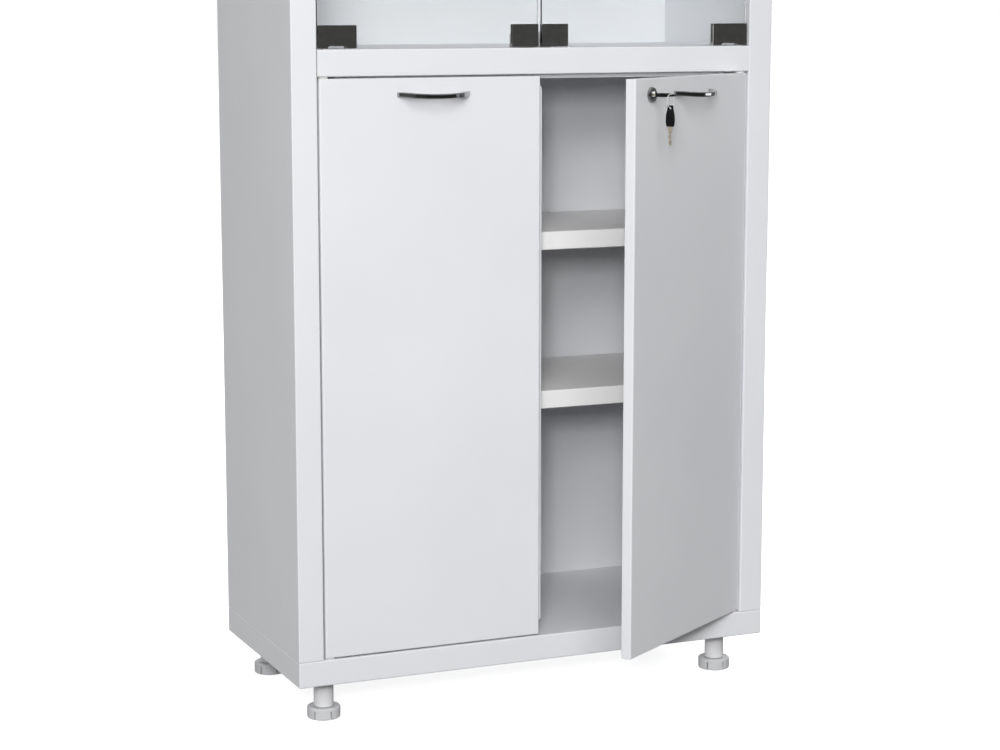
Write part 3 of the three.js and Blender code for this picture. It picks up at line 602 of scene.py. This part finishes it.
lock_plug = add_piece("dressed_lock_plug", domed_plug_mesh("lock_plug"), chrome)
stand_for(soften(lock_plug, plug_edge), "lock_plug")
eased("lock_cam", zinc, cam_edge)
tail_end = 23 * MM
cam_screw = 8 * MM
cam_screw_place = [(lock @ Vector((0, tail_end, 0)), (lock @ Vector((0, 1, 0, 0))).xyz)]
add_screws("cam_screw", cam_screw_place, cam_screw, "lock_plug", zinc)

# Keys and ring: two nickel-plated flat keys with moulded black heads that swell towards the blade. One is
# in the lock, and a split ring of spring steel through the eye of its head carries the other.
nickel = finish("nickel_plate", {"Metallic": 0.55})
vary(nickel, grain(nickel, 200, 4), "Base Color", (0.54, 0.47, 0.35), (0.68, 0.61, 0.49))
vary(nickel, grain(nickel, 1500, 4, (1, 1, 0.2)), "Roughness", 0.2, 0.36)
black_plastic = finish("moulded_black_plastic", {"Specular IOR Level": 0.25})
vary(black_plastic, grain(black_plastic, 80, 4), "Base Color", (0.004, 0.004, 0.0045), (0.009, 0.009, 0.01))
vary(black_plastic, grain(black_plastic, 900), "Roughness", 0.3, 0.45)
relief(black_plastic, grain(black_plastic, 2500, 2), 0.01 * MM)
# The ring's steel is near white and mostly diffuse, so the lamps, which are kept out of reflections, light it as
# bright as a glint. Its brightness is a painted highlight.
ring_steel_painted_glint = finish("pale_ring_steel_painted_glint", {"Metallic": 0.3})
vary(ring_steel_painted_glint, grain(ring_steel_painted_glint, 300, 4), "Base Color", (0.88, 0.88, 0.87), (0.95, 0.95, 0.94))
vary(ring_steel_painted_glint, grain(ring_steel_painted_glint, 1500, 4), "Roughness", 0.3, 0.42)


def lying_box(node, turn):
    """Lowest and highest corner of a node in a turned frame."""
    points = [turn.inverted() @ vert.co for vert in frame["nodes"][node].data.vertices]
    return [Vector([end(point[i] for point in points) for i in range(3)]) for end in (min, max)]


def laid(mesh, low, high, turn):
    """The mesh moved to the middle of that box's near end, in the turned frame."""
    mesh.transform(turn @ Matrix.Translation(((low.x + high.x) / 2, low.y, (low.z + high.z) / 2)))
    return mesh


def head_half_thickness(along):
    """Half the head's thickness at a distance from its ring end, with a waist where the ring goes round."""
    full = 2.4
    stations = ((0, 0.9), (2.6, 1.6), (3.9, 0.8), (6.1, 0.8), (7.6, 1.8), (12, full))
    for (start, near), (end, far) in zip(stations, stations[1:]):
        if along <= end * MM:
            return (near + (far - near) * (along / MM - start) / (end - start)) * MM
    return full * MM


def key_head_mesh(node, turn, eye_radius):
    """Barrel-shaped plate, skinned from its eye to its rim and back for each point of the rim."""
    low, high = lying_box(node, turn)
    length, eye_inset = high.y - low.y, 1.7 * MM
    eye = Vector((0, eye_inset + eye_radius))
    corner, end_half, root_half, belly, belly_at = 1.2 * MM, 3.9 * MM, 4.9 * MM, 7.2 * MM, 20 * MM
    end_start, end_stop = Vector((end_half - corner, 0)), Vector((end_half, corner))
    root_start, root_stop = Vector((root_half, length - corner)), Vector((root_half - corner, length))
    few, many = 4, 32
    rim = [end_start * i / few for i in range(few)]
    rim += [curve_point(end_start, Vector((end_half, 0)), end_stop, i / few) for i in range(few)]
    rim += [curve_point(end_stop, Vector((belly, belly_at)), root_start, i / many) for i in range(many)]
    rim += [curve_point(root_start, Vector((root_half, length)), root_stop, i / few) for i in range(few)]
    rim += [Vector((root_stop.x * (1 - i / few), length)) for i in range(few + 1)]
    rim += [Vector((-point.x, point.y)) for point in reversed(rim[1:-1])]
    rounding, round_shares, inner_steps = 1.2 * MM, (1, 0.67, 0.38, 0.13), 14
    rings = []
    for point in rim:
        away = (point - eye).normalized()
        reach = (point - eye).length
        flat = reach - rounding - eye_radius
        places = [eye_radius + flat * i / inner_steps for i in range(inner_steps)]
        places += [reach - share * rounding for share in round_shares]
        half = []
        for place in places:
            spot = eye + away * place
            drop = max(0, 1 - (reach - place) / rounding)
            half.append((spot.x, spot.y, head_half_thickness(spot.y) * math.sqrt(1 - drop ** 2)))
        rings.append(
            [Vector(p) for p in half] + [Vector((point.x, point.y, 0))]
            + [Vector((x, y, -z)) for x, y, z in reversed(half)])
    return laid(loft(node, rings, True), low, high, turn)


def key_blade_mesh(node, turn):
    """Flat blade with a shoulder, a slimmer shaft and cuts along one edge."""
    low, high = lying_box(node, turn)
    length, wide, thick = high.y - low.y, (high.x - low.x) / 2, (high.z - low.z) / 2
    shoulder, slope, slim, cut, pitch, cuts = 5 * MM, 0.8 * MM, 1.6 * MM, 0.6 * MM, 3.6 * MM, 4
    tip = length - slim
    outline = [(-wide, 0), (-wide, shoulder), (-slim, shoulder + slope)]
    outline += [(-slim, tip), (0, length), (slim, tip)]
    for i in range(cuts):
        valley = tip - (i + 0.5) * pitch
        outline += [(slim - cut, valley), (slim, valley - pitch / 2)]
    outline += [(slim, shoulder + slope), (wide, shoulder), (wide, 0)]
    sides = [[Vector((x, y, z)) for x, y in outline] for z in (-thick, thick)]
    return laid(loft(node, sides, False), low, high, turn)


blade_edge = 0.2 * MM
head_edge = 0.25 * MM
ring_edge = 0.05 * MM
key_turn = lock.to_3x3().to_4x4()
spare_turn = key_turn @ Matrix.Rotation(-math.pi / 2, 4, "X") @ Matrix.Rotation(math.pi / 2, 4, "Y")
for key, turn, eye_radius in (("key", key_turn, 3.3 * MM), ("spare_key", spare_turn, 1.75 * MM)):
    blade = add_piece(f"dressed_{key}_blade", key_blade_mesh(f"{key}_blade", turn), nickel)
    stand_for(soften(blade, blade_edge), f"{key}_blade")
    head = add_piece(f"dressed_{key}_head", key_head_mesh(f"{key}_head", turn, eye_radius), black_plastic)
    stand_for(soften(head, head_edge), f"{key}_head")


def split_ring_mesh(name, radius, wire):
    """Two turns of flat wire lying against each other, round Z."""
    turns, steps = 2, 72
    half_width, half_height, pitch = 0.48 * wire, 0.22 * wire, 0.5 * wire
    section = ((-1, -0.6), (-0.7, -1), (0.7, -1), (1, -0.6), (1, 0.6), (0.7, 1), (-0.7, 1), (-1, 0.6))
    rings = []
    for i in range(turns * steps + 1):
        angle = 2 * math.pi * i / steps
        middle = (i / steps - turns / 2) * pitch
        rings.append([
            round_about(angle, radius + u * half_width, middle + v * half_height) for u, v in section])
    return loft(name, rings, False)


ring_low, ring_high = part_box("key_ring")
ring_wire = 1 * MM
ring_radius = (ring_high.z - ring_low.z) / 2 - ring_wire / 2
key_ring = add_piece("dressed_key_ring", split_ring_mesh("key_ring", ring_radius, ring_wire), ring_steel_painted_glint)
key_ring.matrix_world = (
    Matrix.Translation((ring_low + ring_high) / 2) @ Matrix.Rotation(right_open, 4, "Z")
    @ Matrix.Rotation(math.pi / 2, 4, "X"))
stand_for(soften(key_ring, ring_edge), "key_ring")

# Upper section: two shelves and two frameless doors of clear float glass, whose ground edges look green.
# The doors hang in corner clamps of satin dark chrome with pivot pins and close on a push latch.
pane_edge = 0.5 * MM
clear_glass = finish("clear_float_glass", {"Transmission Weight": 1.0, "IOR": 1.52})
vary(clear_glass, grain(clear_glass, 6, 3), "Base Color", (0.955, 0.98, 0.97), (0.97, 0.988, 0.982))
vary(clear_glass, grain(clear_glass, 14, 5), "Roughness", 0.0, 0.02)
green_edge = finish("ground_glass_edge", {"Transmission Weight": 0.55, "IOR": 1.52})
vary(green_edge, grain(green_edge, 40, 4), "Base Color", (0.12, 0.36, 0.29), (0.2, 0.46, 0.38))
vary(green_edge, grain(green_edge, 500), "Roughness", 0.12, 0.3)


def add_glass(node, broad_axis):
    """A pane whose narrow sides have the ground green edge."""
    shape = plain_faces(node)
    for face in shape.faces:
        face.material_index = 0 if abs(face.normal[broad_axis]) > 0.5 else 1
    piece = add_piece(f"dressed_{node}", mesh_of(shape, node), clear_glass, green_edge)
    soften(piece, pane_edge)
    piece.visible_shadow = False
    return stand_for(piece, node)


for height in ("lower", "upper"):
    add_glass(f"{height}_glass_shelf", 2)
satin_chrome = finish("satin_dark_chrome", {"Metallic": 1.0})
vary(satin_chrome, grain(satin_chrome, 150, 4), "Base Color", (0.48, 0.475, 0.46), (0.56, 0.555, 0.54))
vary(satin_chrome, grain(satin_chrome, 700, 5, (1, 1, 8)), "Roughness", 0.3, 0.42)
relief(satin_chrome, grain(satin_chrome, 900, 2, (1, 1, 8)), 0.006 * MM)
clamp_edge = 0.8 * MM
strike_edge = 0.35 * MM
bush_edge = 0.15 * MM
plunger_edge = 0.2 * MM
latch_edge = 0.8 * MM
for side in ("left", "right"):
    add_glass(f"glass_{side}_door_pane", 1)
    for end in ("top", "bottom"):
        eased(f"glass_{side}_door_{end}_clamp", satin_chrome, clamp_edge)
    eased(f"glass_{side}_door_strike", satin_chrome, strike_edge)
    eased(f"glass_{side}_door_hinge_bush", nylon, bush_edge)
    eased(f"push_latch_{side}_plunger", grey_plastic, plunger_edge)
eased("push_latch_body", grey_plastic, latch_edge)

# Small screws of the upper section: two socket screws press each clamp's jaw on the glass from inside, and
# two pan heads hold the latch down on the floor sheet.
clamp_screw = 8 * MM
clamp_screw_spread = 14 * MM
clamp_jaw_middle = 12.5 * MM
latch_screw = 6 * MM
latch_screw_inset = 4.5 * MM


def socket_rings(diameter):
    """Low button head with a hexagon socket, rings from the socket floor out to the seat."""
    radius, rise, flats = diameter / 2, 0.2 * diameter, 0.26 * diameter
    steps = 24
    angles = [2 * math.pi * i / steps for i in range(steps)]
    reach = [flats / math.cos((a + math.pi / 6) % (math.pi / 3) - math.pi / 6) for a in angles]
    rings = [[round_about(a, r, level * rise) for a, r in zip(angles, reach)] for level in (-0.6, 1.0)]
    for share, level in ((0.8, 1.0), (0.95, 0.7), (1.0, 0.0)):
        rings.append([round_about(a, share * radius, level * rise) for a in angles])
    return rings


for side in ("left", "right"):
    places = []
    for end in ("top", "bottom"):
        low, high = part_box(f"glass_{side}_door_{end}_clamp")
        level = low.z + clamp_jaw_middle if end == "top" else high.z - clamp_jaw_middle
        for spread in (-clamp_screw_spread, clamp_screw_spread):
            places.append((Vector(((low.x + high.x) / 2 + spread, high.y, level)), (0, 1, 0)))
    add_screws(
        f"{side}_clamp_screws", places, clamp_screw, f"glass_{side}_door", satin_chrome,
        socket_rings)
low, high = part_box("push_latch_body")
latch_places = [
    (Vector((x, high.y - 2 * latch_screw_inset, high.z)), (0, 0, 1))
    for x in (low.x + latch_screw_inset, high.x - latch_screw_inset)]
add_screws("latch_screws", latch_places, latch_screw, "cabinet", zinc)

# Studio: a plain white floor that only the camera sees, three lamps at the front left, one behind and a dim
# strip at the right. The room is lighter overhead than in front, so chrome has something dark to mirror.
floor_mesh = bpy.data.meshes.new("floor")
floor_half = 40
floor_mesh.from_pydata(
    [(x, y, 0) for x, y in ((-1, -1), (1, -1), (1, 1), (-1, 1))], [], [(0, 1, 2, 3)])
floor_mesh.transform(Matrix.Scale(floor_half, 4))
floor_paint = finish("white_floor", {"Emission Color": (1, 1, 1, 1), "Emission Strength": 0.7})
vary(floor_paint, grain(floor_paint, 2, 3), "Base Color", (0.88, 0.88, 0.885), (0.9, 0.9, 0.905))
vary(floor_paint, grain(floor_paint, 8, 3), "Roughness", 0.7, 0.8)
floor = add_piece("floor", floor_mesh, floor_paint)
floor.visible_diffuse = False
floor.visible_glossy = False
floor.visible_transmission = False
floor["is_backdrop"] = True

lit_point = Vector((0, -0.16, 0.6))
lamps = (
    ("low_lamp", (-1.4, -3.04, 1.25), 0.35, 0.35, 34, False),
    ("high_lamp", (-2.9, -5.0, 2.5), 1.0, 1.0, 62, False),
    ("softbox", (-1.6, -5.6, 4.2), 3.4, 3.4, 190, False),
    ("back_lamp", (3.2, 3.6, 2.6), 1.6, 1.6, 150, False),
    ("side_strip", (2.5, -0.15, 0.8), 0.8, 0.3, 1.4, True))
for name, place, width, height, watts, mirrored in lamps:
    lamp = bpy.data.objects.new(name, bpy.data.lights.new(name, "AREA"))
    lamp.data.shape = "RECTANGLE"
    lamp.data.size = width
    lamp.data.size_y = height
    lamp.data.energy = watts
    lamp.visible_glossy = mirrored
    lamp.visible_camera = False
    lamp.visible_transmission = False
    lamp.location = place
    lamp.rotation_euler = (lit_point - lamp.location).to_track_quat("-Z", "Y").to_euler()
    scene.collection.objects.link(lamp)

room = bpy.data.worlds.new("room")
room.use_nodes = True
scene.world = room
tree = room.node_tree
tree.nodes.clear()
direction = tree.nodes.new("ShaderNodeTexCoord")
split = tree.nodes.new("ShaderNodeSeparateXYZ")
tree.links.new(direction.outputs["Generated"], split.inputs["Vector"])
faintest = 0.01
glow = None
for axis, sign, strength in (("Z", 1, 0.55), ("Z", -1, 0.35), ("Y", 1, 0.4), ("X", -1, 0.1)):
    share = tree.nodes.new("ShaderNodeMapRange")
    share.inputs["From Max"].default_value = sign
    share.inputs["To Max"].default_value = strength
    total = tree.nodes.new("ShaderNodeMath")
    total.inputs[1].default_value = faintest
    tree.links.new(split.outputs[axis], share.inputs["Value"])
    tree.links.new(share.outputs["Result"], total.inputs[0])
    if glow:
        tree.links.new(glow.outputs[0], total.inputs[1])
    glow = total
dim = tree.nodes.new("ShaderNodeBackground")
tree.links.new(glow.outputs[0], dim.inputs["Strength"])
white = tree.nodes.new("ShaderNodeBackground")
for shade in (dim, white):
    shade.inputs["Color"].default_value = (1, 1, 1, 1)
no_bounce_yet = 0.5
path = tree.nodes.new("ShaderNodeLightPath")
direct = tree.nodes.new("ShaderNodeMath")
direct.operation = "LESS_THAN"
direct.inputs[1].default_value = no_bounce_yet
through_glass = tree.nodes.new("ShaderNodeMath")
through_glass.operation = "MULTIPLY"
seen = tree.nodes.new("ShaderNodeMath")
seen.operation = "MAXIMUM"
mix = tree.nodes.new("ShaderNodeMixShader")
output = tree.nodes.new("ShaderNodeOutputWorld")
tree.links.new(path.outputs["Diffuse Depth"], direct.inputs[0])
tree.links.new(path.outputs["Is Transmission Ray"], through_glass.inputs[0])
tree.links.new(direct.outputs[0], through_glass.inputs[1])
tree.links.new(path.outputs["Is Camera Ray"], seen.inputs[0])
tree.links.new(through_glass.outputs[0], seen.inputs[1])
tree.links.new(seen.outputs[0], mix.inputs["Fac"])
tree.links.new(dim.outputs["Background"], mix.inputs[1])
tree.links.new(white.outputs["Background"], mix.inputs[2])
tree.links.new(mix.outputs["Shader"], output.inputs["Surface"])
scene.view_settings.view_transform = "Standard"

low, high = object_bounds()
